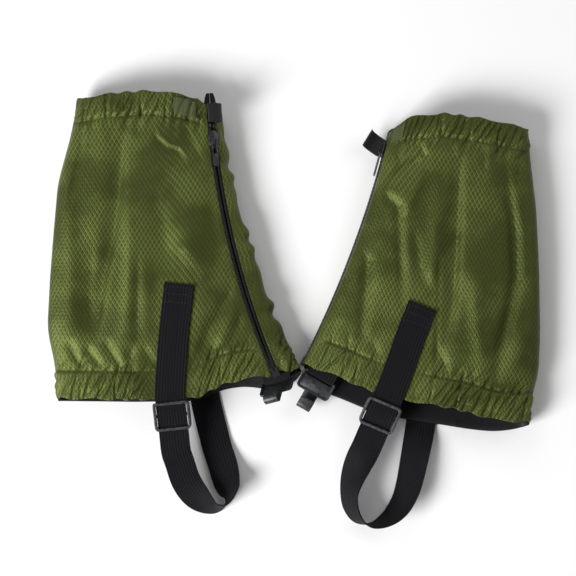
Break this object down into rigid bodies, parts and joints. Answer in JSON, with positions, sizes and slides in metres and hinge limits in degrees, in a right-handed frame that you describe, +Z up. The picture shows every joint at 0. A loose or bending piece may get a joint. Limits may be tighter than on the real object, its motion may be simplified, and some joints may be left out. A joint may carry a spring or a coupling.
{
  "type": "pair of gaiters",
  "caption": "Pair of low trail gaiters lying flat: elasticated fabric leg tubes with a front zip, closure tab, lace hook and adjustable webbing stirrup.",
  "frame": {"origin": "middle of the pair's footprint, on the floor it lies on", "axes": "+X from the wearer's left-hand gaiter in the layout to the right-hand one, +Y towards the knee end, +Z up from the floor"},
  "size_m": [0.414, 0.3658, 0.0439],
  "materials": {
    "ripstop": "diamond ripstop, soft sheen",
    "lining": "smooth coated cloth",
    "elastic": "woven elastic",
    "zip_tape": "woven tape",
    "zip_coil": "nylon coil",
    "zip_metal": "black enamel",
    "hook_tape": "hook tape",
    "loop_tape": "loop tape dyed like the cloth",
    "webbing": "ribbed webbing",
    "adjuster": "satin black",
    "hook_metal": "satin black"
  },
  "bodies": {
    "left_gaiter": {"left_outer_panel": "ripstop", "left_inner_panel": "ripstop", "left_lining": "lining", "left_top_elastic": "elastic", "left_boot_elastic": "elastic", "left_zip_tape_outer": "zip_tape", "left_zip_tape_inner": "zip_tape", "left_zip_coil_outer": "zip_coil", "left_zip_coil_inner": "zip_coil", "left_zip_top_stops": "zip_metal", "left_zip_box": "zip_coil", "left_loop_patch": "loop_tape", "left_instep_strap": "webbing", "left_hook_webbing": "webbing"},
    "left_slider": {"left_zip_slider": "zip_metal"},
    "left_pull": {"left_zip_pull": "zip_metal"},
    "left_tab": {"left_closure_tab": "hook_tape"},
    "left_adjuster": {"left_strap_adjuster": "adjuster"},
    "left_hook": {"left_lace_hook": "hook_metal"},
    "right_gaiter": {"right_outer_panel": "ripstop", "right_inner_panel": "ripstop", "right_lining": "lining", "right_top_elastic": "elastic", "right_boot_elastic": "elastic", "right_zip_tape_outer": "zip_tape", "right_zip_tape_inner": "zip_tape", "right_zip_coil_outer": "zip_coil", "right_zip_coil_inner": "zip_coil", "right_zip_top_stops": "zip_metal", "right_zip_box": "zip_coil", "right_loop_patch": "loop_tape", "right_instep_strap": "webbing", "right_hook_webbing": "webbing"},
    "right_slider": {"right_zip_slider": "zip_metal"},
    "right_pull": {"right_zip_pull": "zip_metal"},
    "right_tab": {"right_closure_tab": "hook_tape"},
    "right_adjuster": {"right_strap_adjuster": "adjuster"},
    "right_hook": {"right_lace_hook": "hook_metal"}
  },
  "joints": [
    {"name": "right_gaiter_apart", "type": "slide", "parent": "left_gaiter", "child": "right_gaiter", "axis": [1, 0, 0], "range_m": [0, 0.15]},
    {"name": "left_zip_travel", "type": "hinge", "parent": "left_gaiter", "child": "left_slider", "pos_m": [0.60748, 0.21651, 0.024], "axis": [0, 0, 1], "range_deg": [0, 14.8]},
    {"name": "left_pull_swing", "type": "hinge", "parent": "left_slider", "child": "left_pull", "pos_m": [-0.06689, 0.14284, 0.02693], "axis": [-0.9725, -0.1048, 0.2079], "range_deg": [0, 100]},
    {"name": "left_tab_fold", "type": "hinge", "parent": "left_gaiter", "child": "left_tab", "pos_m": [-0.06207, 0.16499, 0.02354], "axis": [-0.0767, 0.9971, 0], "range_deg": [-45, 55]},
    {"name": "left_adjuster_slide", "type": "slide", "parent": "left_gaiter", "child": "left_adjuster", "axis": [0.1022, -0.9728, -0.2079], "range_m": [0, 0.016]},
    {"name": "left_hook_swing", "type": "hinge", "parent": "left_gaiter", "child": "left_hook", "pos_m": [-0.01302, -0.05909, 0.0152], "axis": [-0.8956, -0.24, -0.3746], "range_deg": [-40, 32]},
    {"name": "right_zip_travel", "type": "hinge", "parent": "right_gaiter", "child": "right_slider", "pos_m": [-0.79752, 0.36751, 0.014], "axis": [0, 0, -1], "range_deg": [0, 10.3]},
    {"name": "right_pull_swing", "type": "hinge", "parent": "right_slider", "child": "right_pull", "pos_m": [0.07277, 0.1341, 0.01452], "axis": [-0.1678, 0.0448, -0.9848], "range_deg": [0, 50]},
    {"name": "right_tab_fold", "type": "hinge", "parent": "right_gaiter", "child": "right_tab", "pos_m": [0.07392, 0.13613, 0.0069], "axis": [-0.5237, -0.8504, 0.0508], "range_deg": [-38, 50]},
    {"name": "right_adjuster_slide", "type": "slide", "parent": "right_gaiter", "child": "right_adjuster", "axis": [-0.3822, -0.9004, -0.2079], "range_m": [0, 0.016]},
    {"name": "right_hook_swing", "type": "hinge", "parent": "right_gaiter", "child": "right_hook", "pos_m": [0.02248, -0.05599, 0.0145], "axis": [-0.866, 0.5, 0], "range_deg": [-6, 95]}
  ]
}
